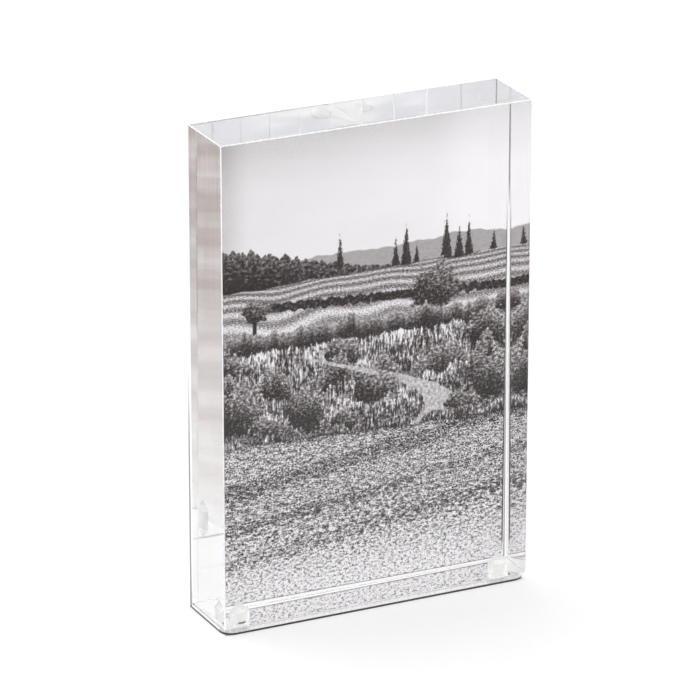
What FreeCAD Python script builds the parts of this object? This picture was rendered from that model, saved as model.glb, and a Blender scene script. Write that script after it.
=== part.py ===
"""Acrylic block frame. A thick clear block stands on the foot of a clear L-shaped back, held there by
two pairs of disc magnets, and keeps a print flat between its own back face and the upright leaf.

Millimetres, +Z up. The origin is on the table, under the middle of the frame. X runs along the width,
-Y is the front that the print is seen through, and the leaf stands at +Y.
"""
import FreeCAD, Part
import os
import Sketcher

# Driving dimensions. Each one has its alias in the sheet, and the features are bound to those cells.
SIZES = {
    # the frame as a whole
    "block_width": 101.6,
    "block_height": 152.4,
    "overall_depth": 25.4,
    "sheet_thickness": 2.0,  # of the leaf and of the foot
    "print_gap": 0.4,  # between the block's back and the leaf
    # the print
    "print_trim_across": 1.6,  # how much narrower it is than the block
    "print_trim_upright": 2.4,  # how much shorter it is than the block
    "print_thickness": 0.25,
    "print_lean": 0.75,  # how far its top stands to the right of its foot
    "print_seat_gap": 0.6,  # under its lowest corner
    "print_side_gap": 0.3,  # from its upper right corner to the block's right side
    # edges and corners
    "sheet_corner_radius": 4.0,
    "block_edge_chamfer": 0.4,
    "sheet_edge_chamfer": 0.25,
    "magnet_edge_chamfer": 0.2,
    # magnets and the blind holes that hold them
    "magnet_diameter": 6.35,
    "block_magnet_height": 3.1,
    "magnet_clearance": 0.05,  # round a magnet, and above it in the block
    "magnet_side_inset": 7.2,  # from a side face to the magnet's axis
    "magnet_front_inset": 8.7,  # from the front face to the magnet's axis
    "pocket_floor": 0.4,  # left under the magnets in the foot
    "drill_point_angle": 90.0,
}

# Sizes that follow from the driving ones, as expressions for the features
BLOCK_DEPTH = "(sizes.overall_depth - sizes.sheet_thickness - sizes.print_gap)"
FOOT_DEPTH = "(sizes.overall_depth - sizes.sheet_thickness)"
LEAF_HEIGHT = "(sizes.block_height + sizes.sheet_thickness)"
FRONT_Y = "(0 - sizes.overall_depth / 2)"
LEAF_Y = "(sizes.overall_depth / 2 - sizes.sheet_thickness)"
MAGNET_X = "(sizes.block_width / 2 - sizes.magnet_side_inset)"
HOLE_DIAMETER = "(sizes.magnet_diameter + 2 * sizes.magnet_clearance)"
HOLE_DEPTH = "(sizes.block_magnet_height + sizes.magnet_clearance)"
POCKET_DEPTH = "(sizes.sheet_thickness - sizes.pocket_floor)"
PRINT_WIDTH = "(sizes.block_width - sizes.print_trim_across)"
PRINT_HEIGHT = "(sizes.block_height - sizes.print_trim_upright)"
PRINT_TURN = f"asin(sizes.print_lean / {PRINT_HEIGHT})"
PRINT_CORNER_X = "(sizes.block_width / 2 - sizes.print_side_gap)"

SIDES = {"left": -1, "right": 1}
SAME_PLACE = 1e-6

# How a constraint names a sketch's own origin and vertical axis, counting down, and the points of a line
# or circle, counting up
ORIGIN, VERTICAL_AXIS = range(-1, -3, -1)
START, END, CENTRE = range(1, 4)

doc = FreeCAD.newDocument("acrylic_block_frame")
sheet = doc.addObject("Spreadsheet::Sheet", "sizes")


def fill_sheet():
    """Writes each driving dimension beside its name and gives the cell that name as its alias."""
    for row, (alias, size) in enumerate(SIZES.items(), start=1):
        sheet.set(f"A{row}", alias)
        sheet.set(f"B{row}", str(size))
        sheet.setAlias(f"B{row}", alias)
    doc.recompute()


def value(expression):
    """What an expression comes to with the sheet as it stands."""
    return float(sheet.evalExpression(expression))


def new_body(name):
    body = doc.addObject("PartDesign::Body", name)
    body.Label = name
    return body


def sketch_on(body, role, use):
    """An empty sketch on one of the body's own origin planes."""
    plane = next(o for o in body.Origin.OriginFeatures if o.Role == role)
    sketch = body.newObject("Sketcher::SketchObject", f"{body.Name}_{use}")
    sketch.AttachmentSupport = [(plane, "")]
    sketch.MapMode = "FlatFace"
    return sketch


def bind(sketch, kind, geometry, name, expression):
    """Adds a named dimension to the sketch and ties it to the sheet."""
    index = sketch.addConstraint(Sketcher.Constraint(kind, *geometry, value(expression)))
    sketch.renameConstraint(index, name)
    sketch.setExpression(f"Constraints.{name}", expression)


def draw_rectangle(sketch, width, height):
    """A rectangle that stands on the sketch's origin, symmetric about its vertical axis."""
    half, top = value(width) / 2, value(height)
    corners = [(-half, 0), (half, 0), (half, top), (-half, top)]
    points = [FreeCAD.Vector(*corner) for corner in corners]
    for start, end in zip(points, points[1:] + points[:1]):
        sketch.addGeometry(Part.LineSegment(start, end))
    bottom, right, upper, left = range(len(points))
    for line, following in ((bottom, right), (right, upper), (upper, left), (left, bottom)):
        sketch.addConstraint(Sketcher.Constraint("Coincident", line, END, following, START))
    sketch.addConstraint(Sketcher.Constraint("Horizontal", bottom))
    sketch.addConstraint(Sketcher.Constraint("Vertical", right))
    sketch.addConstraint(Sketcher.Constraint("Symmetric", bottom, START, bottom, END, ORIGIN, START))
    sketch.addConstraint(Sketcher.Constraint("Symmetric", upper, START, upper, END, VERTICAL_AXIS))
    bind(sketch, "DistanceX", (bottom, START, bottom, END), "width", width)
    bind(sketch, "DistanceY", (right, START, right, END), "height", height)


def draw_magnet_circles(sketch, diameter):
    """Two equal circles on the magnets' axes, in a sketch whose origin is at the middle of the front."""
    across, inward = MAGNET_X, "sizes.magnet_front_inset"
    for side in SIDES.values():
        centre = FreeCAD.Vector(side * value(across), value(inward), 0)
        sketch.addGeometry(Part.Circle(centre, FreeCAD.Vector(0, 0, 1), value(diameter) / 2))
    left, right = range(len(SIDES))
    sketch.addConstraint(Sketcher.Constraint("Symmetric", left, CENTRE, right, CENTRE, VERTICAL_AXIS))
    sketch.addConstraint(Sketcher.Constraint("Equal", left, right))
    bind(sketch, "Diameter", (right,), "bore", diameter)
    bind(sketch, "DistanceX", (ORIGIN, START, right, CENTRE), "across", across)
    bind(sketch, "DistanceY", (ORIGIN, START, right, CENTRE), "inward", inward)


def pad(body, sketch, length, backwards=False):
    """Grows a sketch into a solid, along the sketch's normal or against it."""
    feature = body.newObject("PartDesign::Pad", f"{body.Name}_pad")
    feature.Profile = sketch
    feature.Reversed = backwards
    feature.setExpression("Length", length)
    doc.recompute()
    return feature


def edges_of(feature, wanted):
    """Names of the edges that answer to a test on their end points, of which a full circle has one."""
    edges = enumerate(feature.Shape.Edges, start=1)
    return [f"Edge{n}" for n, edge in edges if wanted([v.Point for v in edge.Vertexes])]


def all_at(points, axis, place):
    """True for the two ends of an edge that both lie at one place along one axis."""
    return len(points) == 2 and all(abs(getattr(p, axis) - place) < SAME_PLACE for p in points)


def round_corners(body, base, edges, radius):
    feature = body.newObject("PartDesign::Fillet", f"{body.Name}_corners")
    feature.Base = (base, edges)
    feature.Radius = value(radius)
    feature.setExpression("Radius", radius)
    doc.recompute()
    return feature


def chamfer_edges(body, base, edges, size):
    feature = body.newObject("PartDesign::Chamfer", f"{body.Name}_edges")
    feature.Base = (base, edges)
    feature.Size = value(size)
    feature.setExpression("Size", size)
    doc.recompute()
    return feature


def stand_at(body, x="0", y="0", z="0"):
    """Ties the body's place in the frame to the sheet."""
    for axis, expression in zip("xyz", (x, y, z)):
        body.setExpression(f"Placement.Base.{axis}", expression)


def check_cut(before, after):
    """A cut that points away from the solid removes nothing, so the volume is compared."""
    removed = before.Shape.Volume - after.Shape.Volume
    assert removed > 0, f"{after.Name} cuts nothing"
    print(f"{after.Name} removes {removed:.1f} mm3")


def acrylic_block():
    """The thick front block, with two blind holes drilled up from its bottom face for magnets."""
    body = new_body("acrylic_block")
    outline = sketch_on(body, "XY_Plane", "outline")
    draw_rectangle(outline, "sizes.block_width", BLOCK_DEPTH)
    blank = pad(body, outline, "sizes.block_height")
    every_edge = edges_of(blank, lambda points: len(points) == 2)
    polished = chamfer_edges(body, blank, every_edge, "sizes.block_edge_chamfer")
    circles = sketch_on(body, "XY_Plane", "hole_circles")
    draw_magnet_circles(circles, HOLE_DIAMETER)
    holes = body.newObject("PartDesign::Hole", "magnet_holes")
    holes.Profile = circles
    doc.recompute()
    holes.DepthType = "Dimension"
    holes.Threaded = False
    holes.setExpression("Diameter", HOLE_DIAMETER)
    holes.setExpression("Depth", HOLE_DEPTH)
    holes.DrillPoint = "Angled"
    holes.DrillForDepth = False
    holes.setExpression("DrillPointAngle", "sizes.drill_point_angle")
    holes.Reversed = True
    doc.recompute()
    check_cut(polished, holes)
    stand_at(body, y=FRONT_Y, z="sizes.sheet_thickness")
    return body


def back_leaf():
    """The upright sheet of the L-shaped back, round at its two top corners."""
    body = new_body("back_leaf")
    outline = sketch_on(body, "XZ_Plane", "outline")
    draw_rectangle(outline, "sizes.block_width", LEAF_HEIGHT)
    blank = pad(body, outline, "sizes.sheet_thickness", backwards=True)
    side_x, top_z = value("sizes.block_width / 2"), value(LEAF_HEIGHT)
    top_corners = edges_of(
        blank,
        lambda points: all_at(points, "z", top_z)
        and (all_at(points, "x", side_x) or all_at(points, "x", -side_x)),
    )
    rounded = round_corners(body, blank, top_corners, "sizes.sheet_corner_radius")
    front_y, back_y = 0, value("sizes.sheet_thickness")
    top_edges = edges_of(
        rounded,
        lambda points: all_at(points, "z", top_z)
        and (all_at(points, "y", front_y) or all_at(points, "y", back_y)),
    )
    chamfer_edges(body, rounded, top_edges, "sizes.sheet_edge_chamfer")
    stand_at(body, y=LEAF_Y)
    return body


def foot_plate():
    """The sheet under the block, round at its two front corners, with a pocket for each magnet."""
    body = new_body("foot_plate")
    outline = sketch_on(body, "XY_Plane", "outline")
    draw_rectangle(outline, "sizes.block_width", FOOT_DEPTH)
    blank = pad(body, outline, "sizes.sheet_thickness", backwards=True)
    side_x, front_y = value("sizes.block_width / 2"), 0
    front_corners = edges_of(
        blank,
        lambda points: all_at(points, "y", front_y)
        and (all_at(points, "x", side_x) or all_at(points, "x", -side_x)),
    )
    rounded = round_corners(body, blank, front_corners, "sizes.sheet_corner_radius")
    top_z, base_z = 0, -value("sizes.sheet_thickness")
    front_edges = edges_of(
        rounded,
        lambda points: all_at(points, "y", front_y)
        and (all_at(points, "z", top_z) or all_at(points, "z", base_z)),
    )
    polished = chamfer_edges(body, rounded, front_edges, "sizes.sheet_edge_chamfer")
    circles = sketch_on(body, "XY_Plane", "pocket_circles")
    draw_magnet_circles(circles, HOLE_DIAMETER)
    pockets = body.newObject("PartDesign::Pocket", "magnet_pockets")
    pockets.Profile = circles
    pockets.setExpression("Length", POCKET_DEPTH)
    doc.recompute()
    check_cut(polished, pockets)
    stand_at(body, y=FRONT_Y, z="sizes.sheet_thickness")
    return body


def photo_print():
    """The print, trimmed a little smaller than the block and leaning to the right in its gap."""
    body = new_body("photo_print")
    outline = sketch_on(body, "XZ_Plane", "outline")
    draw_rectangle(outline, PRINT_WIDTH, PRINT_HEIGHT)
    pad(body, outline, "sizes.print_thickness", backwards=True)
    reach = f"({PRINT_WIDTH} / 2 * cos({PRINT_TURN}) + sizes.print_lean)"
    drop = f"({PRINT_WIDTH} / 2 * sin({PRINT_TURN}))"
    spare = "(sizes.print_gap - sizes.print_thickness)"
    clockwise_from_the_front = FreeCAD.Vector(0, 1, 0)
    body.Placement.Rotation = FreeCAD.Rotation(clockwise_from_the_front, value(PRINT_TURN))
    body.setExpression("Placement.Rotation.Angle", PRINT_TURN)
    stand_at(
        body,
        x=f"{PRINT_CORNER_X} - {reach}",
        y=f"{LEAF_Y} - {spare} / 2 - sizes.print_thickness",
        z=f"sizes.sheet_thickness + sizes.print_seat_gap + {drop}",
    )
    return body


def magnet(name, side, height, base_z):
    """A plated disc magnet that stands on base_z, on the axis of the holes at one side."""
    body = new_body(name)
    outline = sketch_on(body, "XY_Plane", "outline")
    upwards = FreeCAD.Vector(0, 0, 1)
    radius = value("sizes.magnet_diameter / 2")
    disc = outline.addGeometry(Part.Circle(FreeCAD.Vector(0, 0, 0), upwards, radius))
    outline.addConstraint(Sketcher.Constraint("Coincident", disc, CENTRE, ORIGIN, START))
    bind(outline, "Diameter", (disc,), "across", "sizes.magnet_diameter")
    blank = pad(body, outline, height)
    rims = edges_of(blank, lambda points: len(points) == 1)
    chamfer_edges(body, blank, rims, "sizes.magnet_edge_chamfer")
    stand_at(
        body,
        x=f"{side} * {MAGNET_X}",
        y=f"{FRONT_Y} + sizes.magnet_front_inset",
        z=base_z,
    )
    return body


def magnets():
    """A magnet in each hole of the block, and under it one in the foot that it clings to."""
    made = []
    for side_name, side in SIDES.items():
        in_block = f"block_magnet_{side_name}"
        in_foot = f"foot_magnet_{side_name}"
        made.append(magnet(in_block, side, "sizes.block_magnet_height", "sizes.sheet_thickness"))
        made.append(magnet(in_foot, side, POCKET_DEPTH, "sizes.pocket_floor"))
    return made


def check_and_export(bodies):
    """Stops on any failed object or bad solid, then writes one file for each sub-part."""
    doc.recompute()
    for thing in doc.Objects:
        assert not {"Invalid", "Error"} & set(thing.State), f"{thing.Name} is {thing.State}"
    for body in bodies:
        shape = body.Shape
        assert not shape.isNull() and shape.isValid(), f"{body.Label} has no valid shape"
    os.makedirs("parts", exist_ok=True)
    for body in bodies:
        body.Shape.exportStep(f"parts/{body.Label}.step")
        box = body.Shape.BoundBox
        low = f"({box.XMin:.2f}, {box.YMin:.2f}, {box.ZMin:.2f})"
        high = f"({box.XMax:.2f}, {box.YMax:.2f}, {box.ZMax:.2f})"
        print(f"{body.Label}: {low} to {high}, {body.Shape.Volume:.1f} mm3")


fill_sheet()
check_and_export([back_leaf(), foot_plate(), photo_print(), acrylic_block(), *magnets()])
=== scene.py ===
# %% [markdown]
# # A clear block frame for one photograph
#
# The object is a thick polished block of clear acrylic that stands on the foot of a clear
# L-shaped back. An upright black-and-white print is trapped between block and back, and four
# small disc magnets, two in the block and two in the foot, hold the block down.
# Almost everything that the eye sees here is seen through something clear or mirrored inside
# it, so the work is in true shapes, true edges and true light paths, and in a good print.
#
# The measured frame comes first: it gives every piece its place.

# %% The measured frame
import math

import bmesh
import bpy
from mathutils import Matrix, Vector


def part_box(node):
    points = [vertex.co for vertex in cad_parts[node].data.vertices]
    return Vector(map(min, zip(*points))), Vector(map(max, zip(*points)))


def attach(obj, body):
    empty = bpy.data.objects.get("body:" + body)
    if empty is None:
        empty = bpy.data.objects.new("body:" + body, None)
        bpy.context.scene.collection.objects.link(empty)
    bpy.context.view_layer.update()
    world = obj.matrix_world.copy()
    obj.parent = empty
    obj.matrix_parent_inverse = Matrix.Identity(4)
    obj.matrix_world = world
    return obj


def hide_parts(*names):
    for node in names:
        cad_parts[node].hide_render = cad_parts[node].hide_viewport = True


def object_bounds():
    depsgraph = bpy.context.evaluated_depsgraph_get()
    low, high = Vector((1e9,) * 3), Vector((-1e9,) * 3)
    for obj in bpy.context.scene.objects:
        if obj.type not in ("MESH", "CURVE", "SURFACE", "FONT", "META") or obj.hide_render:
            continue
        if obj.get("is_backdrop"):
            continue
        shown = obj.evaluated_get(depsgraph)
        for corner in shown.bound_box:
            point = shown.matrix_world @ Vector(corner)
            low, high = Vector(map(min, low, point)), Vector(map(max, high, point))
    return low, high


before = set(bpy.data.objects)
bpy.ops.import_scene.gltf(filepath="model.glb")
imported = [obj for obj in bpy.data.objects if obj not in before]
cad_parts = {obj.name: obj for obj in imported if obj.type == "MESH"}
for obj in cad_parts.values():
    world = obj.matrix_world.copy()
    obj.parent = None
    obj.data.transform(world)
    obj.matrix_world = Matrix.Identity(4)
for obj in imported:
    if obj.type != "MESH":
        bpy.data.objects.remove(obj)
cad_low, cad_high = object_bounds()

MM = 0.001
scene = bpy.context.scene
print("the frame measures, in mm:", [round(v / MM, 1) for v in cad_high - cad_low])

# %% [markdown]
# ## Where the pieces are
#
# Each measured piece gives the lowest and highest corner of its box. Sizes and places further
# down are worked out from these corners, so the looks stay on the pieces. Heights in patterns
# are written in millimetres above the table.

# %% Places of the pieces
block_low, block_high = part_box("acrylic_block")
leaf_low, leaf_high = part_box("back_leaf")
foot_low, foot_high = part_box("foot_plate")
print_low, print_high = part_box("photo_print")
hole_centres = []
for side in ("left", "right"):
    low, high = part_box("block_magnet_" + side)
    hole_centres.append((low + high) / 2)
print("holes at, in mm:", [[round(v / MM, 1) for v in centre] for centre in hole_centres])

# %% [markdown]
# ## Where the camera stands
#
# The frame is turned by a little more than a quarter of a right angle, so that its front, its
# left side and its top all show. A long lens from over a metre and a half away keeps the
# upright edges almost parallel, as a product photographer would.

# %% Camera
CAMERA_PLACE = Vector((-645.3, -1321.0, 631.4)) * MM
CAMERA_DIRECTION = Vector((0.4093, 0.8419, -0.3517))
LENS = 269.7
FILM = 36.0
FAR_ENOUGH = 50.0

lens = bpy.data.cameras.new("long_lens")
lens.lens = LENS
lens.sensor_width = FILM
lens.clip_end = FAR_ENOUGH
camera = bpy.data.objects.new("camera", lens)
camera.location = CAMERA_PLACE
camera.rotation_euler = CAMERA_DIRECTION.to_track_quat("-Z", "Y").to_euler()
scene.collection.objects.link(camera)
scene.camera = camera
print("the camera is", round(CAMERA_PLACE.length, 2), "m from the foot")

# %% [markdown]
# ## Light that goes round inside
#
# Inside clear acrylic a ray may be turned back a hundred times before it finds a way out: in
# the thin leaf it runs down between the two faces as in a light guide. With few bounces such
# rays end black, so the limits are raised. Blurring of mirror paths is switched off, because
# it would turn the clear block cloudy for the light that falls on the print behind it.

# %% Light paths
BOUNCES_IN_ACRYLIC = 160
BOUNCES_OFF_MATT = 4

scene.view_settings.view_transform = "Standard"
scene.cycles.max_bounces = BOUNCES_IN_ACRYLIC
scene.cycles.transmission_bounces = BOUNCES_IN_ACRYLIC
scene.cycles.glossy_bounces = BOUNCES_IN_ACRYLIC
scene.cycles.diffuse_bounces = BOUNCES_OFF_MATT
scene.cycles.blur_glossy = 0.0
print("a ray may turn", scene.cycles.max_bounces, "times")

# %% [markdown]
# ## Writing materials as arithmetic
#
# Every finish here is a node tree. A small class lets its numbers be added, multiplied and
# compared like any others, and adds the nodes behind the scenes.

# %% Numbers that vary over a surface


class Tone:
    """A number that varies over a surface, such as a height, a brightness or a mask."""

    def __init__(self, tree, socket):
        self.tree = tree
        self.socket = socket

    def step_with(self, operation, *others, clamp=False):
        node = self.tree.nodes.new("ShaderNodeMath")
        node.operation = operation
        node.use_clamp = clamp
        for place, value in enumerate((self, *others)):
            plug(self.tree, value, node.inputs[place])
        return Tone(self.tree, node.outputs[0])

    def __add__(self, other):
        return self.step_with("ADD", other)

    def __sub__(self, other):
        return self.step_with("SUBTRACT", other)

    def __mul__(self, other):
        return self.step_with("MULTIPLY", other)

    def __truediv__(self, other):
        return self.step_with("DIVIDE", other)

    def power(self, other):
        return self.step_with("POWER", other)

    def size(self):
        return self.step_with("ABSOLUTE")

    def least(self, other):
        return self.step_with("MINIMUM", other)

    def most(self, other):
        return self.step_with("MAXIMUM", other)

    def held(self):
        """The number kept between 0 and 1."""
        return self.step_with("ADD", 0.0, clamp=True)

    def over(self, start, end, low=0.0, high=1.0):
        """Runs smoothly from low to high while the number goes from start to end."""
        node = self.tree.nodes.new("ShaderNodeMapRange")
        node.interpolation_type = "SMOOTHSTEP"
        for name, value in (("Value", self), ("From Min", start), ("From Max", end),
                            ("To Min", low), ("To Max", high)):
            plug(self.tree, value, node.inputs[name])
        return Tone(self.tree, node.outputs["Result"])


def plug(tree, value, socket):
    """Sets a socket to a number or colour, or links it to a Tone or another socket."""
    if isinstance(value, Tone):
        value = value.socket
    if isinstance(value, bpy.types.NodeSocket):
        tree.links.new(value, socket)
    else:
        socket.default_value = value


print("a Tone can be added to, multiplied, compared and spread over a range")

# %% [markdown]
# ## Starting and ending a material
#
# A material starts as an empty tree, gets nodes with their sockets set in one call each, and
# ends at its output. Patterns read the place of a point on the piece itself, so they stay on
# it when it moves. Most come from one kind of noise, stretched to suit.

# %% Nodes, places and noise


def node(tree, kind, **inputs):
    """A shader node with its named inputs set; underscores in a name stand for spaces."""
    made = tree.nodes.new(kind)
    for name, value in inputs.items():
        plug(tree, value, made.inputs[name.replace("_", " ")])
    return made


def empty_material(name):
    material = bpy.data.materials.new(name)
    material.use_nodes = True
    material.node_tree.nodes.clear()
    return material, material.node_tree


def show(tree, shader, kind="ShaderNodeOutputMaterial"):
    """Connects the finished shader to the output."""
    tree.links.new(shader.outputs[0], tree.nodes.new(kind).inputs["Surface"])


def object_place(tree):
    """The three coordinates of a point on the piece, in metres, as Tones."""
    where = tree.nodes.new("ShaderNodeTexCoord")
    parts = node(tree, "ShaderNodeSeparateXYZ", Vector=where.outputs["Object"])
    return [Tone(tree, socket) for socket in parts.outputs]


def noise(tree, across, up, detail=4.0, roughness=0.5, shift=0.0):
    """Natural unevenness between about 0.2 and 0.8 over two coordinates already scaled."""
    place = node(tree, "ShaderNodeCombineXYZ", X=across, Y=up, Z=shift)
    made = node(tree, "ShaderNodeTexNoise", Vector=place.outputs[0], Scale=1.0,
                Detail=detail, Roughness=roughness)
    return Tone(tree, made.outputs["Fac"])


print("node helpers ready")

# %% [markdown]
# ## Mixing
#
# Colours, finishes and layers are all mixed by a share between 0 and 1. The Mix node has
# several sockets of the same name, one set for each kind of value, so the ones for colours
# are picked by their number.

# %% Mixing colours, finishes and layers
MIX_SHARE = 0
MIX_FIRST_COLOUR = 6
MIX_SECOND_COLOUR = 7
MIX_COLOUR_RESULT = 2


def colour_between(tree, share, first, second):
    made = tree.nodes.new("ShaderNodeMix")
    made.data_type = "RGBA"
    plug(tree, share, made.inputs[MIX_SHARE])
    plug(tree, first, made.inputs[MIX_FIRST_COLOUR])
    plug(tree, second, made.inputs[MIX_SECOND_COLOUR])
    return made.outputs[MIX_COLOUR_RESULT]


def finish_between(tree, share, first, second):
    """A finish that is partly one and partly another."""
    made = tree.nodes.new("ShaderNodeMixShader")
    for place, value in enumerate((share, first.outputs[0], second.outputs[0])):
        plug(tree, value, made.inputs[place])
    return made


def glowing(tree, shader, colour, strength):
    """A finish with a little painted light of its own, standing in for frosted plastic lit from inside.
    """
    glow = node(tree, "ShaderNodeEmission", Color=colour, Strength=strength)
    made = tree.nodes.new("ShaderNodeAddShader")
    tree.links.new(shader.outputs[0], made.inputs[0])
    tree.links.new(glow.outputs[0], made.inputs[1])
    return made


def laid_over(ground, mask, tone):
    """One layer over another, wherever the mask is 1."""
    return ground + (ground * -1.0 + tone) * mask


print("mixing helpers ready")

# %% [markdown]
# ## A white tent
#
# The studio is a white tent, with light of one strength from every side. What falls on matt
# things comes a little more from one soft light high up and behind on the left, so that the
# foot has a faint shadow in front of it. The Light Path node tells what a ray has met so far.

# %% The tent
WHITE = (1.0, 1.0, 1.0, 1.0)
SOFTBOX_DIRECTION = Vector((-0.22, 0.30, 0.93))
SOFTBOX_REACH = math.radians(26.0)
SOFTBOX_CORE = math.radians(15.6)
SOFTBOX_STRENGTH = 2.2
TENT_ON_FLOOR = 0.76


def light_path(tree):
    made = tree.nodes.new("ShaderNodeLightPath")
    return {name: Tone(tree, made.outputs[name]) for name in
            ("Is Diffuse Ray", "Is Glossy Ray", "Is Transmission Ray", "Diffuse Depth", "Glossy Depth")}


tent = bpy.data.worlds.new("white_tent")
scene.world = tent
tent.use_nodes = True
tree = tent.node_tree
tree.nodes.clear()
where = tree.nodes.new("ShaderNodeTexCoord")
towards = tree.nodes.new("ShaderNodeVectorMath")
towards.operation = "DOT_PRODUCT"
tree.links.new(where.outputs["Generated"], towards.inputs[0])
towards.inputs[1].default_value = SOFTBOX_DIRECTION.normalized()
softbox = Tone(tree, towards.outputs["Value"]).over(math.cos(SOFTBOX_REACH), math.cos(SOFTBOX_CORE))
on_matt = light_path(tree)["Is Diffuse Ray"]
strength = on_matt * (softbox * SOFTBOX_STRENGTH + (TENT_ON_FLOOR - 1.0)) + 1.0
show(tree, node(tree, "ShaderNodeBackground", Color=WHITE, Strength=strength),
     "ShaderNodeOutputWorld")
print("the soft light reaches", round(math.degrees(SOFTBOX_REACH)), "degrees from its middle")

# %% [markdown]
# ## The floor
#
# The floor is one large white sheet, a hair below the foot. Right under the foot light
# arrives through the acrylic alone. There the sheet is painted with shade, darker and bluer,
# with paler patches of painted light, most of them on the right, and the top of the block
# shows just that.

# %% The floor and its paint
FLOOR_HALF = 6.0
HAIR = 0.05 * MM
FLOOR_COLOUR = (0.66, 0.66, 0.66, 1.0)
FLOOR_GLOW = 0.42
UNDER_FOOT_SHADE = (0.56, 0.57, 0.64, 1.0)
UNDER_LIGHT = (0.96, 0.97, 0.99, 1.0)

bm = bmesh.new()
bmesh.ops.create_grid(bm, x_segments=1, y_segments=1, size=FLOOR_HALF)
bmesh.ops.translate(bm, vec=(0, 0, -HAIR), verts=bm.verts)
floor_mesh = bpy.data.meshes.new("floor")
bm.to_mesh(floor_mesh)
bm.free()
floor = bpy.data.objects.new("floor", floor_mesh)
scene.collection.objects.link(floor)
floor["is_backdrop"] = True

white_floor, tree = empty_material("white_floor")
x, y, z = object_place(tree)
past_the_foot = (x.size() - cad_high.x).most(y.size() - cad_high.y)
outside = past_the_foot.over(-1.0 * MM, -0.2 * MM)
# Painted shade under the foot, darker and bluer, with paler patches of painted light.
lit_patches = noise(tree, x * 38.0, y * 120.0, detail=1.0, shift=1.0).over(0.35, 0.62)
to_the_right = (x / MM).over(14.0, 30.0, 0.2, 0.8)
under_foot_shade = colour_between(tree, lit_patches * to_the_right, UNDER_FOOT_SHADE, UNDER_LIGHT)
paint = colour_between(tree, outside, under_foot_shade, FLOOR_COLOUR)
matt = node(tree, "ShaderNodeBsdfDiffuse", Color=paint)
lifted = glowing(tree, matt, WHITE, outside * FLOOR_GLOW)
floor_mesh.materials.append(white_floor)
print("the floor is", 2 * FLOOR_HALF, "m square")

# %% [markdown]
# ## The floor in the mirrors of the block
#
# Polished acrylic is drawn only by what it mirrors. So in its mirrors the sheet carries painted
# shade: away from the frame it falls in soft clouds to a warm grey, and that fills the left side
# of the block. Straight through block and leaf, with no mirroring, it stays white.

# %% The mirrored floor
DIM_COLOUR = (0.50, 0.44, 0.425, 1.0)
DIM_NEAR = 0.27
DIM_FAR = 0.87
CLOUD_DEPTH = 1.5

# Painted shade that only mirrored rays meet: warm grey farther from the frame, in clouds.
away = ((x * x) + (y * y)).power(0.5)
clouds = noise(tree, away * 42.0, x * 7.0, detail=3.0)
dimness = (away.over(0.04, 0.29, DIM_NEAR, DIM_FAR) + (clouds - 0.5) * CLOUD_DEPTH).held()
path = light_path(tree)
seen = colour_between(tree, dimness * path["Glossy Depth"].held(), WHITE, DIM_COLOUR)
mirrored = node(tree, "ShaderNodeEmission", Color=seen, Strength=1.0)
for_the_eye = (path["Diffuse Depth"] * -1.0 + 1.0).held()
by_acrylic = (path["Is Glossy Ray"] + path["Is Transmission Ray"]).held()
show(tree, finish_between(tree, by_acrylic * outside * for_the_eye, lifted, mirrored))
print("mirrored, the floor dims from", DIM_NEAR, "to", DIM_FAR)

# %% [markdown]
# ## Clear acrylic
#
# Acrylic bends light a little less than window glass and has hardly any colour. The large
# faces are as cast, flat as a mirror. The narrow faces were sawn and then polished, and keep
# faint streaks along the cut. On the left side a dark brown painted shade lies along the
# streaks, more of it higher up.

# %% Cast faces and polished edges
ACRYLIC_BEND = 1.49
ACRYLIC_COLOUR = (1.0, 1.0, 1.0, 1.0)
SIDE_SHADE_COLOUR = (0.26, 0.23, 0.22, 1.0)
SIDE_SHADE_SHARE = 0.18
POLISH_RELIEF = 0.02 * MM


def clear_shader(tree, roughness=0.0, bump=None):
    made = node(tree, "ShaderNodeBsdfPrincipled", Base_Color=ACRYLIC_COLOUR,
                Roughness=roughness, IOR=ACRYLIC_BEND, Transmission_Weight=1.0)
    if bump is not None:
        tree.links.new(bump.outputs[0], made.inputs["Normal"])
    return made


cast_face, tree = empty_material("cast_face")
show(tree, clear_shader(tree))

polished_edge, tree = empty_material("polished_edge")
x, y, z = object_place(tree)
streaks = noise(tree, (x + y) * 700.0, z * 22.0, detail=3.0)
waves = noise(tree, (x + y) * 40.0, z * 90.0, detail=1.0, shift=4.0)
relief = node(tree, "ShaderNodeBump", Height=streaks * 0.3 + waves, Strength=0.25,
              Distance=POLISH_RELIEF)
# Painted shade on the left side: dark brown, along the streaks and growing upwards.
far_haze_and_side_shade = node(tree, "ShaderNodeBsdfDiffuse", Color=SIDE_SHADE_COLOUR)
on_left = (x / MM).over(-48.0, -40.0, 1.0, 0.0) * (z / MM).over(153.0, 154.0, 1.0, 0.0)
upwards = (z / MM).over(70.0, 150.0, 0.2, 1.0)
share = streaks.over(0.40, 0.66, 0.0, SIDE_SHADE_SHARE) * upwards * on_left
show(tree, finish_between(tree, share, clear_shader(tree, bump=relief), far_haze_and_side_shade))
print("faces as cast, edges polished")

# %% [markdown]
# ## Drilled holes
#
# The holes were drilled and left as they were, so their walls are frosted, with fine rings
# from the drill, and glow faintly with painted light. In the left one a short dark line of
# painted shade marks where the block ends and the foot begins.

# %% Drilled walls
SEAM_SHADE_HALF = 1.3
SEAM_SHADE_LIFT = 0.02
RING_PITCH = 0.5 * MM
RING_RELIEF = 0.03 * MM

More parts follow.
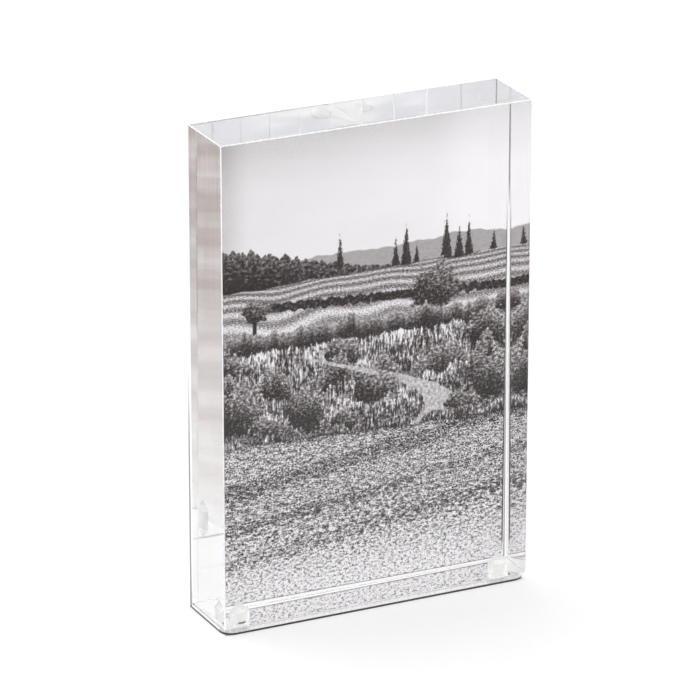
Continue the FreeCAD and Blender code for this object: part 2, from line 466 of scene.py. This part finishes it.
drilled_wall, tree = empty_material("drilled_wall")
x, y, z = object_place(tree)
rings = (z * (math.tau / RING_PITCH)).step_with("SINE")
grooves = node(tree, "ShaderNodeBump", Height=rings, Strength=0.6, Distance=RING_RELIEF)
# Painted shade: a short dark line on the front of the left hole's wall, at the seam.
left_hole = hole_centres[0] / MM
beside = (x / MM - left_hole.x).size() - SEAM_SHADE_HALF
before = (y / MM).over(left_hole.y, left_hole.y - 1.0)
off_seam = (z / MM - (foot_high.z / MM + SEAM_SHADE_LIFT)).size()
seam_shade = beside.over(-0.2, 0.1, 1.0, 0.0) * before * off_seam.over(0.22, 0.32, 1.0, 0.0)
frost_and_seam_shade = (rings * 0.10 + 0.87) * (seam_shade * -0.85 + 1.0)
frosted = node(tree, "ShaderNodeBsdfDiffuse", Color=frost_and_seam_shade)
clear = clear_shader(tree, roughness=0.4, bump=grooves)
# The frosted wall also glows faintly with painted light.
show(tree, finish_between(tree, seam_shade * 0.4 + 0.58, clear, glowing(tree, frosted, frost_and_seam_shade, 0.14)))
print("holes frosted")

# %% [markdown]
# ## Broken and shaded edges
#
# The sharp edges were broken with fine paper. Most show as a bright line, a painted highlight
# from their pale finish and its glow. Three uprights of the block, the two at the back and the
# right one at the front, carry painted shade in their upper part and look grey there, nearly
# dark beside the right border of the print.

# %% Broken and shaded edges
SANDED = 0.3
PALE = (0.95, 0.95, 0.955, 1.0)
PALE_GLOW = 0.30
LEFT_PALE, LEFT_SHADE = 0.80, 0.42
RIGHT_BACK_SHADE, RIGHT_FRONT_SHADE = 0.13, 0.55
RIGHT_BACK_FROM, RIGHT_FRONT_FROM = 114.0, 60.0
SHADE_FADE = 12.0


def pale_with_painted_glow(tree):
    """Finely sanded acrylic, pale, with a painted glow for the light it catches."""
    return glowing(tree, node(tree, "ShaderNodeBsdfDiffuse", Color=PALE), WHITE, PALE_GLOW)


# Painted highlight: broken edges are mostly the pale finish with its painted glow.
broken_edge, tree = empty_material("broken_edge")
show(tree, finish_between(tree, 0.8, clear_shader(tree, roughness=SANDED), pale_with_painted_glow(tree)))

# Painted shade on three uprights: grey in their upper part, darkest at the back on the right.
shaded_edge, tree = empty_material("shaded_edge")
x, y, z = object_place(tree)
on_right = x.over(-MM, MM)
at_front = y.over(-MM, MM, 1.0, 0.0)
left_grey = (z / MM).over(60.0, 105.0, LEFT_PALE, LEFT_SHADE)
right_grey = at_front * (RIGHT_FRONT_SHADE - RIGHT_BACK_SHADE) + RIGHT_BACK_SHADE
painted_shade = node(tree, "ShaderNodeBsdfDiffuse", Color=laid_over(left_grey, on_right, right_grey))
clear = clear_shader(tree, roughness=SANDED)
upper = finish_between(tree, on_right * (at_front * -0.35 + 0.25) + 0.6, clear, painted_shade)
lower = finish_between(tree, 0.45, clear, pale_with_painted_glow(tree))
shade_from = at_front * (RIGHT_FRONT_FROM - RIGHT_BACK_FROM) + RIGHT_BACK_FROM
lowered = on_right * (z / MM - shade_from).over(0.0, SHADE_FADE, 1.0, 0.0)
show(tree, finish_between(tree, lowered, upper, lower))
print("block edges:", broken_edge.name, shaded_edge.name)

# %% [markdown]
# ## Sanded and dull edges
#
# The leaf's narrow side is sanded white with a painted glow, and painted shade gives it a grey
# line along its lower half, a grey crest and a darker foot. The foot's front and the block's
# lower back edge are a little dull, and the foot's lowest rim is painted dark for the shade it
# lies in.

# %% Sanded and dull edges
LEAF_GLOW = 0.25
FOOT_RIM_SHADE = (0.045, 0.038, 0.036, 1.0)

leaf_side, tree = empty_material("leaf_side")
x, y, z = object_place(tree)
depth = (y - leaf_low.y) / MM
height = z / MM
# Painted shade: a grey line along the lower half, a grey crest, darker towards the foot.
line = depth.over(0.3, 0.8) * depth.over(1.6, 1.9, 1.0, 0.0) * height.over(45.0, 95.0, 1.0, 0.0)
crest_shade = depth.over(1.2, 1.6) * height.over(150.0, 153.0)
shade = (line * -0.66 + 0.96) * (crest_shade * -0.45 + 1.0) * height.over(0.0, 14.0, 0.8, 1.0)
sanded = node(tree, "ShaderNodeBsdfDiffuse", Color=shade)
show(tree, glowing(tree, sanded, shade, LEAF_GLOW))

dull_edge, tree = empty_material("dull_edge")
x, y, z = object_place(tree)
specks = noise(tree, x * 1100.0, z * 900.0, detail=3.0, roughness=0.7)
shade = node(tree, "ShaderNodeCombineColor", Red=specks.over(0.3, 0.7, 0.72, 1.0),
             Green=specks.over(0.3, 0.7, 0.70, 0.98), Blue=specks.over(0.3, 0.7, 0.72, 1.0))
dull = node(tree, "ShaderNodeBsdfDiffuse", Color=shade.outputs[0])
show(tree, finish_between(tree, 0.60, clear_shader(tree), dull))

# Painted shade: the foot's lowest rim is near black.
foot_rim, tree = empty_material("foot_rim")
show(tree, node(tree, "ShaderNodeBsdfPrincipled", Base_Color=FOOT_RIM_SHADE, Roughness=0.5))
print("sheet edges:", leaf_side.name, dull_edge.name, foot_rim.name)

# %% [markdown]
# ## Small helpers for solid pieces
#
# A piece starts as a box between two corners. A drill is half of its outline spun about its
# axis. Cuts are made with the Boolean modifier and applied at once, so that what is left is a
# plain mesh in its place.

# %% Helpers for solids
WELD = 0.001 * MM
DRILL_STEPS = 96


def box_between(low, high):
    bm = bmesh.new()
    bmesh.ops.create_cube(bm, size=1.0)
    bmesh.ops.scale(bm, vec=high - low, verts=bm.verts)
    bmesh.ops.translate(bm, vec=(low + high) / 2, verts=bm.verts)
    return bm


def as_object(bm, name):
    bmesh.ops.remove_doubles(bm, verts=bm.verts, dist=WELD)
    bmesh.ops.recalc_face_normals(bm, faces=bm.faces)
    mesh = bpy.data.meshes.new(name)
    bm.to_mesh(mesh)
    bm.free()
    made = bpy.data.objects.new(name, mesh)
    scene.collection.objects.link(made)
    return made


def drill(centre, outline):
    """A tool of revolution about an upright axis: outline is pairs of radius and height."""
    bm = bmesh.new()
    verts = [bm.verts.new((centre.x + radius, centre.y, height)) for radius, height in outline]
    edges = [bm.edges.new(pair) for pair in zip(verts, verts[1:])]
    bmesh.ops.spin(bm, geom=verts + edges, cent=centre, axis=(0, 0, 1), angle=math.tau,
                   steps=DRILL_STEPS, use_merge=True)
    return as_object(bm, "drill")


def apply_boolean(piece, tool, operation):
    step = piece.modifiers.new("cut", "BOOLEAN")
    step.operation = operation
    step.solver = "EXACT"
    step.object = tool
    ready = piece.evaluated_get(bpy.context.evaluated_depsgraph_get())
    piece.data = bpy.data.meshes.new_from_object(ready)
    piece.modifiers.clear()
    bpy.data.objects.remove(tool)


def reopen(piece):
    bm = bmesh.new()
    bm.from_mesh(piece.data)
    return bm


def write_back(bm, piece):
    bm.to_mesh(piece.data)
    bm.free()


print("solid helpers ready")

# %% [markdown]
# ## Giving each face its finish
#
# One piece has several finishes, and which one a face has follows from where it is and which
# way it looks. Broken edges and drilled walls are shaded smooth. The large faces are kept as
# flat as a mirror, because a bent one would show at once in what it mirrors.

# %% Helper for finishes
SQUARE_ON = 0.99995
CRISP_ANGLE = math.radians(30.0)


def squareness(face):
    """1 for a face that looks straight along an axis, less for any other."""
    return max(abs(part) for part in face.normal)


def dress(bm, piece, finishes, finish_of):
    for face in bm.faces:
        finish = finish_of(face)
        face.material_index = finishes.index(finish)
        face.smooth = squareness(face) < SQUARE_ON or finish == drilled_wall
    for edge in bm.edges:
        edge.smooth = edge.is_manifold and edge.calc_face_angle(0.0) < CRISP_ANGLE
    for finish in finishes:
        piece.data.materials.append(finish)
    write_back(bm, piece)


print("finish helper ready")

# %% [markdown]
# ## The thick block
#
# The block is one piece of cast acrylic with a small flat broken along every edge, which shows
# as a bright line of painted highlight. Two blind holes come up from below and end in the
# drill's point. A film of air is left under the block, thinner than a hair: without it the
# block would look glued to the foot, and the print would not be mirrored in its underside.

# %% Block
EDGE_FLAT = 0.4 * MM
EDGE_STEPS = 4
HOLE_RADIUS = 3.225 * MM
HOLE_DEPTH = 3.15 * MM
DRILL_POINT = HOLE_RADIUS
AIR_FILM = 0.03 * MM
OVERRUN = 1.0 * MM

bm = box_between(block_low + Vector((0, 0, AIR_FILM)), block_high)
bmesh.ops.bevel(bm, geom=bm.edges[:], offset=EDGE_FLAT, offset_type="OFFSET",
                affect="EDGES", segments=EDGE_STEPS, profile=0.5, material=-1)
thick_block = as_object(bm, "thick_block")
below = block_low.z - OVERRUN
shoulder = block_low.z + HOLE_DEPTH
for centre in hole_centres:
    bit = drill(centre, [(0.0, below), (HOLE_RADIUS, below), (HOLE_RADIUS, shoulder),
                         (0.0, shoulder + DRILL_POINT)])
    apply_boolean(thick_block, bit, "DIFFERENCE")
print("thick block with", len(hole_centres), "holes")

# %% [markdown]
# ## The finishes of the block
#
# Front, back and underside are as cast, and the sides and the top are sawn and polished. Of
# the broken edges, the three uprights with painted shade and the dull one low at the back have
# finishes of their own, and the other low ones stay clear.

# %% Finishes of the block
RIDGE = 0.92
MOSTLY = 0.9
BARELY = 0.1
HOLE_AND_WALL = HOLE_RADIUS * 1.01


def in_a_hole(point):
    return any((point - hole).to_2d().length < HOLE_AND_WALL for hole in hole_centres)


def block_finish(face):
    centre = face.calc_center_median()
    normal = face.normal
    if in_a_hole(centre) and centre.z < shoulder + DRILL_POINT:
        return drilled_wall
    if squareness(face) >= RIDGE:
        return cast_face if abs(normal.y) > MOSTLY or normal.z < -MOSTLY else polished_edge
    if centre.z < block_low.z + MM:
        return dull_edge if normal.y > BARELY and abs(normal.x) < BARELY else cast_face
    upright = abs(normal.z) < BARELY
    return shaded_edge if upright and (normal.y > 0 or centre.x > 0) else broken_edge


dress(reopen(thick_block), thick_block,
      [cast_face, polished_edge, drilled_wall, broken_edge, shaded_edge, dull_edge], block_finish)
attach(thick_block, "block")
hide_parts("acrylic_block")
print("thick block:", len(thick_block.data.polygons), "faces")

# %% [markdown]
# ## The L-shaped back
#
# Leaf and foot are two sheets cemented along one edge. Good cement leaves no line, so the two
# are joined here into one solid. The leaf has rounded corners at the top and the foot at the
# front. The foot has two pockets for its magnets. A cut around the foot, low down, lets its
# rim next to the table have a finish of its own.

# %% Back
SHEET_RADIUS = 4.0 * MM
CORNER_STEPS = 16
SHEET_FLAT = 0.25 * MM
FLAT_STEPS = 3
POCKET_FLOOR = 0.4 * MM
RIM_HEIGHT = 0.75 * MM
WELD_OVERLAP = 1.0 * MM
SAME_PLANE = 0.001
SHARP = 1.0


def round_two_corners(bm, is_corner):
    chosen = [edge for edge in bm.edges if is_corner((edge.verts[0].co + edge.verts[1].co) / 2)]
    bmesh.ops.bevel(bm, geom=chosen, offset=SHEET_RADIUS, offset_type="OFFSET",
                    affect="EDGES", segments=CORNER_STEPS, profile=0.5, material=-1)
    print("rounded", len(chosen), "corners")


bm = box_between(leaf_low, leaf_high)
round_two_corners(bm, lambda p: p.z > leaf_high.z - WELD and abs(p.x) > leaf_high.x - WELD)
clear_back = as_object(bm, "clear_back")
bm = box_between(foot_low, foot_high + Vector((0, WELD_OVERLAP, 0)))
round_two_corners(bm, lambda p: p.y < foot_low.y + WELD and abs(p.x) > foot_high.x - WELD)
apply_boolean(clear_back, as_object(bm, "foot"), "UNION")
bm = reopen(clear_back)
bmesh.ops.remove_doubles(bm, verts=bm.verts, dist=WELD)
bmesh.ops.dissolve_limit(bm, angle_limit=SAME_PLANE, verts=bm.verts, edges=bm.edges)
sharp = [edge for edge in bm.edges
         if edge.is_manifold and edge.is_convex and edge.calc_face_angle(0.0) > SHARP]
bmesh.ops.bevel(bm, geom=sharp, offset=SHEET_FLAT, offset_type="OFFSET", affect="EDGES",
                segments=FLAT_STEPS, profile=0.5, material=-1)
bmesh.ops.bisect_plane(bm, geom=bm.verts[:] + bm.edges[:] + bm.faces[:],
                       plane_co=(0, 0, RIM_HEIGHT), plane_no=(0, 0, 1))
write_back(bm, clear_back)
for side in ("left", "right"):
    low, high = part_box("foot_magnet_" + side)
    above = high.z + OVERRUN
    bit = drill((low + high) / 2, [(0.0, POCKET_FLOOR), (HOLE_RADIUS, POCKET_FLOOR),
                                   (HOLE_RADIUS, above), (0.0, above)])
    apply_boolean(clear_back, bit, "DIFFERENCE")
print("leaf and foot joined, with two pockets")

# %% [markdown]
# ## The finishes of the back
#
# Both sheets are as cast on their large faces. The leaf's narrow side is sanded, the foot's
# front is dull, and the lowest rim of the foot is painted as a fine dark line of shade next to
# the table, because no light comes in there. The end of the rim on the right is left clear.

# %% Finishes of the back
SIDEWAYS = 0.7


def back_finish(face):
    centre = face.calc_center_median()
    normal = face.normal
    on_leaf = centre.z > foot_high.z
    if in_a_hole(centre) and POCKET_FLOOR - WELD < centre.z < foot_high.z - WELD:
        return drilled_wall
    if centre.z < RIM_HEIGHT and normal.z > -MOSTLY and normal.x < SIDEWAYS:
        return foot_rim
    if centre.z > foot_high.z + MM and abs(normal.y) < MOSTLY:
        return leaf_side
    if centre.z < foot_high.z and centre.y < foot_low.y + SHEET_RADIUS and abs(normal.z) < MOSTLY:
        return dull_edge
    across_sheet = normal.y if on_leaf else normal.z
    return cast_face if abs(across_sheet) > MOSTLY else polished_edge


dress(reopen(clear_back), clear_back,
      [cast_face, polished_edge, drilled_wall, foot_rim, leaf_side, dull_edge], back_finish)
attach(clear_back, "back")
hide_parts("back_leaf", "foot_plate")
print("clear back:", len(clear_back.data.polygons), "faces")

# %% [markdown]
# ## Magnets
#
# The magnets are nickel-plated discs. Little of them shows through the frosted holes, only a
# soft warm glint, and their discs are turned parts already, so they keep their shape.

# %% Nickel
NICKEL_COLOUR = (0.90, 0.87, 0.84, 1.0)
MAGNETS = ("block_magnet_left", "block_magnet_right", "foot_magnet_left", "foot_magnet_right")

nickel, tree = empty_material("nickel")
show(tree, node(tree, "ShaderNodeBsdfPrincipled", Base_Color=NICKEL_COLOUR, Metallic=1.0, Roughness=0.3))
for name in MAGNETS:
    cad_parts[name].data.materials[0] = nickel
print(len(MAGNETS), "magnets plated")

# %% [markdown]
# ## The place of the picture
#
# The print is 10 x 15 cm paper and leans to the right by less than a third of a degree. The
# picture is laid out in millimetres on the paper itself: `u` runs to the right from the
# middle and `w` upwards from the lower edge.

# %% Coordinates on the print
PRINT_WIDE = 100.0
PRINT_TALL = 150.0
PRINT_THICK = (print_high.y - print_low.y) / MM
PRINT_SHIFT = 0.75
PRINT_LEAN = math.asin(PRINT_SHIFT / PRINT_TALL)
LEFT = -PRINT_WIDE / 2
RIGHT = PRINT_WIDE / 2

print_middle = (print_low + print_high) / 2


def mapped(tree, vector, move=(0, 0, 0), turn=(0, 0, 0), grow=(1, 1, 1)):
    """Coordinates scaled, then turned, then moved."""
    return node(tree, "ShaderNodeMapping", Vector=vector, Location=move, Rotation=turn,
                Scale=grow).outputs[0]


picture, tree = empty_material("picture")
where = tree.nodes.new("ShaderNodeTexCoord").outputs["Object"]
from_middle = mapped(tree, where, move=-print_middle)
on_paper = mapped(tree, from_middle, move=(0, 0, PRINT_TALL / 2), turn=(0, -PRINT_LEAN, 0),
                  grow=(1 / MM, 1 / MM, 1 / MM))
parts = node(tree, "ShaderNodeSeparateXYZ", Vector=on_paper)
u = Tone(tree, parts.outputs[0])
w = Tone(tree, parts.outputs[2])


def rough(across, up, detail=4.0, roughness=0.6, shift=0.0):
    """Unevenness about zero, from -0.3 to 0.3, with so many lumps per millimetre of paper."""
    place = mapped(tree, on_paper, move=(0, shift, 0), grow=(across, 0, up))
    made = node(tree, "ShaderNodeTexNoise", Vector=place, Scale=1.0, Detail=detail,
                Roughness=roughness)
    return Tone(tree, made.outputs["Fac"]) - 0.5


print("the print leans by", round(math.degrees(PRINT_LEAN), 2), "degrees")

# %% [markdown]
# ## The picture: sky and hills
#
# A quiet black-and-white landscape, darkest tones in the trees, palest in sky and lawn. Tones
# are written as they should look, from 0 for black to 1 for white. Painted shade darkens the
# sky along its top and its left border and painted light brightens it towards its right
# border; far hills are hazy, and a wooded ridge falls from the left. Each layer has a height
# on the paper, and is laid over what lies farther away.

# %% Sky and hills
SKY_LOW, SKY_HIGH = 0.922, 0.893
TOP_SHADE_FROM = 128.0
FAR_HILLS = 107.5
WOODS_LEFT, WOODS_RIGHT = 114.5, 101.0

# Painted light and shade on the sky: lighter towards the right, darker along the left border and the
# top.
sky = w.over(118.0, PRINT_TALL, SKY_LOW, SKY_HIGH) + u.over(LEFT, 40.0, -0.008, 0.020)
sky = sky + rough(0.03, 0.07) * 0.04
sky = sky + u.over(22.0, 40.0, 0.0, 0.032) + u.over(LEFT, -34.0, -0.16, 0.0)
top_shade = ((w - TOP_SHADE_FROM) / (PRINT_TALL - TOP_SHADE_FROM)).held()
sky = sky - top_shade * top_shade * u.over(22.0, 40.0, 0.15, 0.11)
far_line = rough(0.045, 0.0, detail=3.0) * 9.0 + FAR_HILLS
far_haze_and_side_shade = rough(0.5, 0.9) * 0.16 + 0.66
image = laid_over(sky, (far_line - w).over(-0.2, 0.3), far_haze_and_side_shade)

canopy = rough(0.36, 0.0, detail=3.5, shift=2.0) * 9.0
ridge_line = u.over(-58.0, 18.0, WOODS_LEFT, WOODS_RIGHT) + canopy * u.over(-20.0, 20.0, 1.0, 0.35)
leaves = rough(0.75, 1.0, detail=5.0, roughness=0.72)
woods = leaves * 2.2 + (w - ridge_line) * 0.028 + 0.36
image = laid_over(image, (ridge_line - w).over(-0.2, 0.3), woods)
print("far hills at", FAR_HILLS, "mm, woods from", WOODS_LEFT, "to", WOODS_RIGHT, "mm")

# %% [markdown]
# ## The picture: conifers
#
# A row of conifers stands on the skyline. Each is a slim cone with a ragged outline, given by
# where its foot stands, the height of its base, its own height and half its width.

# %% Conifers
CONIFERS = (
    (12.5, 100.5, 8.5, 1.5), (16.0, 100.0, 12.5, 2.0), (19.5, 99.5, 7.0, 1.4),
    (29.5, 99.0, 15.0, 2.3), (33.8, 99.5, 10.5, 1.9), (37.0, 99.0, 13.0, 1.8),
    (45.5, 98.5, 9.0, 1.7), (-6.0, 103.0, 9.5, 1.4),
)

for number, (foot, base, height, half) in enumerate(CONIFERS):
    taper = (w - base) * (-half / height) + half
    ragged = rough(1.5, 1.1, detail=3.0, shift=number * 3.0) * 2.6
    mask = (taper + ragged - (u - foot).size()).over(-0.15, 0.3) * (w - base).over(-0.6, 0.4)
    needles = rough(1.8, 1.8, shift=9.0) * 0.7 + (u - foot) * 0.03 + 0.20
    image = laid_over(image, mask, needles)
print(len(CONIFERS), "conifers on the skyline")

# %% [markdown]
# ## The picture: a mown field and hedges
#
# Mown swaths run across a slope, closer together the farther away they are. Hedges and
# shrubs are banks: an uneven upper line, light along the top where the sun meets them and
# dark towards their foot, with a rough texture over both. A tree or shrub is given by where
# it stands, its middle height, and half its width and height.

# %% Field and hedges
FIELD_LEFT, FIELD_RIGHT = 100.0, 101.0
FAR_HEDGE = 93.4
NEAR_HEDGE = 86.0
FIELD_TREES = ((-34.0, 93.0, 4.0, 3.6), (27.0, 92.0, 9.0, 8.0))


def bank(ground, line, depth, dark, light, texture):
    """A layer up to an uneven line, lit along its top and dark below."""
    shade = (w - line).over(-depth, 0.0, dark, light) + texture
    return laid_over(ground, (line + texture * 1.6 - w).over(-0.2, 0.4), shade.held())


def bush(ground, place, size, number, dark=0.06, light=0.58):
    """One shrub or crown with a ragged rim, lit from the upper right."""
    side = (u - place[0]) / size[0]
    rise = (w - place[1]) / size[1]
    ragged = rough(0.22, 0.26, detail=6.0, roughness=0.72, shift=number * 2.7)
    rim = (side * side + rise * rise).power(0.5) + ragged * 2.6
    light_on = rise * 0.9 + side * 0.4 + ragged * -1.6
    tone = light_on.over(-1.0, 1.0, dark, light) + foliage * 2.9
    return laid_over(ground, rim.over(0.80, 1.0, 1.0, 0.0), tone.held())


foliage = rough(0.95, 1.15, detail=6.0, roughness=0.78, shift=3.0)
field_line = rough(0.05, 0.0, detail=2.0, shift=5.0) * 5.0 + u.over(LEFT, RIGHT, FIELD_LEFT, FIELD_RIGHT)
bends = rough(0.028, 0.02, detail=1.0) * 26.0
swaths = ((w * -1.0 + 112.0).power(-1.0) * 640.0 + bends).step_with("SINE")
stubble = rough(1.5, 3.0, detail=5.0, roughness=0.75)
field = swaths * 0.15 + stubble * 2.2 + w.over(82.0, 102.0, 0.71, 0.59)
image = laid_over(image, (field_line - w).over(-0.3, 0.4), field)

far_hedge = rough(0.5, 0.0, detail=3.0, shift=8.0) * 4.2 + (u * -0.05) + FAR_HEDGE
hedge_mask = (far_hedge - w).over(-0.2, 0.3) * (w - far_hedge).over(-3.0, -2.5)
image = laid_over(image, hedge_mask * u.over(-34.0, -26.0), leaves * 1.5 + 0.24)

for number, (foot, base, across, tall) in enumerate(FIELD_TREES):
    width = ((u - foot).size() - 0.55).over(-0.2, 0.3, 1.0, 0.0)
    trunk = width * (w - base + tall * 0.5).over(0.0, 0.5, 1.0, 0.0)
    image = laid_over(image, trunk * w.over(79.0, 80.0), 0.16)
    image = bush(image, (foot, base), (across, tall), number + 40, 0.14, 0.50)
hedge_line = rough(0.15, 0.0, detail=4.0, roughness=0.55, shift=21.0) * 15.0 + NEAR_HEDGE
image = bank(image, hedge_line, 6.0, 0.20, 0.60, foliage * 1.7)
print("field, two hedges and", len(FIELD_TREES), "trees")

# %% [markdown]
# ## The picture: tall grass and far shrubs
#
# The strip before the lawn is the liveliest: upright stalks and seed heads against dark gaps,
# and banks of shrubs. Stalks are unevenness stretched upwards, and everything grows coarser
# towards the viewer.

# %% Tall grass and far shrubs
FAR_GRASS = 79.5
SHRUB_BANK = 71.0
NEAR_GRASS = 65.0
FAR_SHRUBS = ((-46.0, 77.0, 8.0, 6.0), (-5.0, 76.0, 6.5, 4.6), (45.0, 76.0, 8.0, 7.0))

stalks = rough(1.35, 0.26, detail=6.0, roughness=0.80, shift=2.0)
heads = rough(1.1, 0.8, detail=5.0, roughness=0.75, shift=6.0)
clumps = rough(0.11, 0.13, detail=3.0, shift=8.0)
grass = stalks * 4.2 + heads * 2.2 + clumps * 1.6 - 0.03
far_grass_line = rough(0.2, 0.0, detail=3.0, shift=12.0) * 7.0 + FAR_GRASS
image = bank(image, far_grass_line, 14.0, 0.44, 0.62, grass)
for number, (foot, base, across, tall) in enumerate(FAR_SHRUBS):
    image = bush(image, (foot, base), (across, tall), number + 50)
shrub_line = rough(0.085, 0.0, detail=3.5, shift=31.0) * 44.0 + SHRUB_BANK
image = bank(image, shrub_line, 11.0, 0.10, 0.54, foliage * 3.0)
near_grass_line = rough(0.10, 0.0, detail=3.0, shift=42.0) * 22.0 + NEAR_GRASS
image = bank(image, near_grass_line, 14.0, 0.36, 0.56, grass)
print("two bands of grass and", len(FAR_SHRUBS), "far shrubs")

# %% [markdown]
# ## The picture: a path and near shrubs
#
# A pale path winds through the grass, wide at the lawn and narrow higher up, where it is
# farther away. Its bends are a sine wave along its height. Shrubs stand beside and before it,
# and the darkest bank closes the strip towards the lawn.

# %% Path and near shrubs
PATH_LOW, PATH_HIGH = 46.0, 80.0
FRONT_BANK = 53.0
LOW_GRASS = 51.5
NEAR_SHRUBS = (
    (-41.0, 62.0, 10.0, 8.0), (-17.0, 59.5, 9.0, 6.5), (6.0, 63.0, 7.0, 5.0),
    (44.0, 61.0, 9.0, 9.0), (-30.0, 55.0, 6.0, 4.0), (-4.0, 54.0, 5.0, 3.6),
    (36.0, 53.5, 6.0, 4.0),
)

bend = ((w - 48.0) * 0.13).step_with("SINE") * 13.0
path_middle = bend + w.over(PATH_LOW, PATH_HIGH, 24.0, -12.0)
path_half = w.over(PATH_LOW, PATH_HIGH, 7.0, 1.0)
path_mask = (path_half + grass * 1.2 - (u - path_middle).size()).over(-0.3, 0.5)
path_mask = path_mask * w.over(74.0, 77.0, 1.0, 0.0)
image = laid_over(image, path_mask, heads * 1.1 + 0.72)

for number, (foot, base, across, tall) in enumerate(NEAR_SHRUBS):
    image = bush(image, (foot, base), (across, tall), number + 60)
front_line = rough(0.075, 0.0, detail=3.5, shift=57.0) * 40.0 + FRONT_BANK - path_mask * 4.0
image = bank(image, front_line, 12.0, 0.02, 0.42, foliage * 3.0)
low_line = rough(0.13, 0.0, detail=3.0, shift=66.0) * 14.0 + LOW_GRASS
image = bank(image, low_line, 6.0, 0.14, 0.44, grass)
print("a path and", len(NEAR_SHRUBS), "near shrubs")

# %% [markdown]
# ## The picture: lawn
#
# The lawn is short grass seen ever closer, in tufts, pale and sparkling at the foot of the
# print. Long soft shadows drift across it. Each is given by its middle height on the paper,
# half its width and its depth.

# %% Lawn
LAWN_LEFT, LAWN_RIGHT = 51.0, 48.5
SHADOWS = ((41.5, 2.8, 0.24), (29.0, 1.4, 0.17), (18.0, 2.6, 0.13))

lawn_line = rough(0.10, 0.0, detail=3.0, shift=15.0) * 4.0 + u.over(LEFT, RIGHT, LAWN_LEFT, LAWN_RIGHT)
blades = rough(1.5, 2.3, detail=6.0, roughness=0.82, shift=4.0)
near_blades = rough(0.95, 1.4, detail=6.0, roughness=0.84, shift=7.0)
farther = w.over(10.0, 40.0)
texture = blades * farther + near_blades * (farther * -1.0 + 1.0)
tufts = rough(0.42, 0.95, detail=3.0, roughness=0.65, shift=19.0) * w.over(2.0, 22.0, 0.7, 2.3)
lawn = texture * w.over(2.0, 40.0, 5.0, 7.6) + tufts + w.over(0.0, 28.0, 0.89, 0.59)
drift = w - u * 0.13 + rough(0.07, 0.30, detail=6.0, roughness=0.75) * 11.0
for middle, half, depth in SHADOWS:
    lawn = lawn - (drift - middle).size().over(half * 0.5, half * 1.2, depth, 0.0)
edge = (lawn_line - w).over(0.0, 2.2, 0.28, 0.0)
image = laid_over(image, (lawn_line + stalks * 3.0 - w).over(-0.2, 0.5), (lawn - edge).held())
print("lawn with", len(SHADOWS), "shadows")

# %% [markdown]
# ## The picture: grain, ink and paper
#
# Contrast is raised a little below the skyline, and film grain lies over all. The ink is a
# warm black on slightly cool paper. Where the sheet stands clear of the block's side and
# above the foot its cut rim is painted with shade, a thin dark line beside the bright gap.
# The back of the sheet is plain paper.

# %% Grain, ink and paper
CONTRAST = 1.30
DARKENING = 0.12
DARKEST, PALEST = 0.05, 0.97
SCREEN_CURVE = 2.2
PRINT_RIM_SHADE = (0.06, 0.055, 0.055, 1.0)

contrast = w.over(92.0, 110.0, CONTRAST, 1.0)
image = (image - 0.5) * contrast + 0.5 - (contrast - 1.0) * DARKENING
film = rough(2.6, 2.6, detail=2.0, roughness=0.8, shift=11.0)
image = (image.held() + film * image.over(0.82, 0.92, 0.25, 0.03)).most(DARKEST).least(PALEST)
warm = image.over(0.5, 1.0, 0.020, 0.007)
cool = image.over(0.3, 1.0, 0.0, 0.011)
ink = node(tree, "ShaderNodeCombineColor", Red=(image + warm).power(SCREEN_CURVE),
           Green=image.power(SCREEN_CURVE), Blue=(image + cool).power(SCREEN_CURVE))
# Painted shade along the right and lower rims of the picture.
right_rim_shade = (u - w.over(10.0, 90.0, 49.45, 49.68)).over(0.0, 0.1)
right_rim_shade = right_rim_shade * w.over(3.0, 6.0) * w.over(100.0, 122.0, 1.0, 0.0)
low_rim_shade = w.over(0.22, 0.34, 0.6, 0.0)
ink_and_rim_shade = colour_between(tree, (right_rim_shade * 0.95).most(low_rim_shade), ink.outputs[0], PRINT_RIM_SHADE)
show(tree, node(tree, "ShaderNodeBsdfPrincipled", Base_Color=ink_and_rim_shade, Roughness=0.5,
                Specular_IOR_Level=0.04))

paper, tree = empty_material("paper")
x, y, z = object_place(tree)
fibres = noise(tree, x * 900.0, z * 900.0, detail=3.0).over(0.3, 0.7, 0.82, 0.88)
show(tree, node(tree, "ShaderNodeBsdfPrincipled", Base_Color=fibres, Roughness=0.6))
print("picture and paper ready")

# %% [markdown]
# ## The print
#
# One sheet of photo paper: picture in front, plain paper behind and at its cut edges. It is a
# thin box, turned about its middle by the lean.

# %% Print
sheet_size = Vector((PRINT_WIDE, PRINT_THICK, PRINT_TALL)) * MM
bm = box_between(-sheet_size / 2, sheet_size / 2)
leaning = Matrix.Translation(print_middle) @ Matrix.Rotation(PRINT_LEAN, 4, "Y")
bmesh.ops.transform(bm, matrix=leaning, verts=bm.verts)
for face in bm.faces:
    face.material_index = 0 if face.normal.y < -MOSTLY else 1
photo_sheet = as_object(bm, "photo_sheet")
for material in (picture, paper):
    photo_sheet.data.materials.append(material)
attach(photo_sheet, "print")
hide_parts("photo_print")
print("print:", [round(v / MM, 2) for v in photo_sheet.dimensions], "mm")

# %% [markdown]
# ## The size of the visual model
#
# Dressing the frame must not make it grow: the box of the visual model is printed here, to be
# read against the measured frame printed at the start.

# %% The size of the visual model
bpy.context.view_layer.update()
low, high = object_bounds()
print("visual model, in mm:", [round(v / MM, 2) for v in high - low])
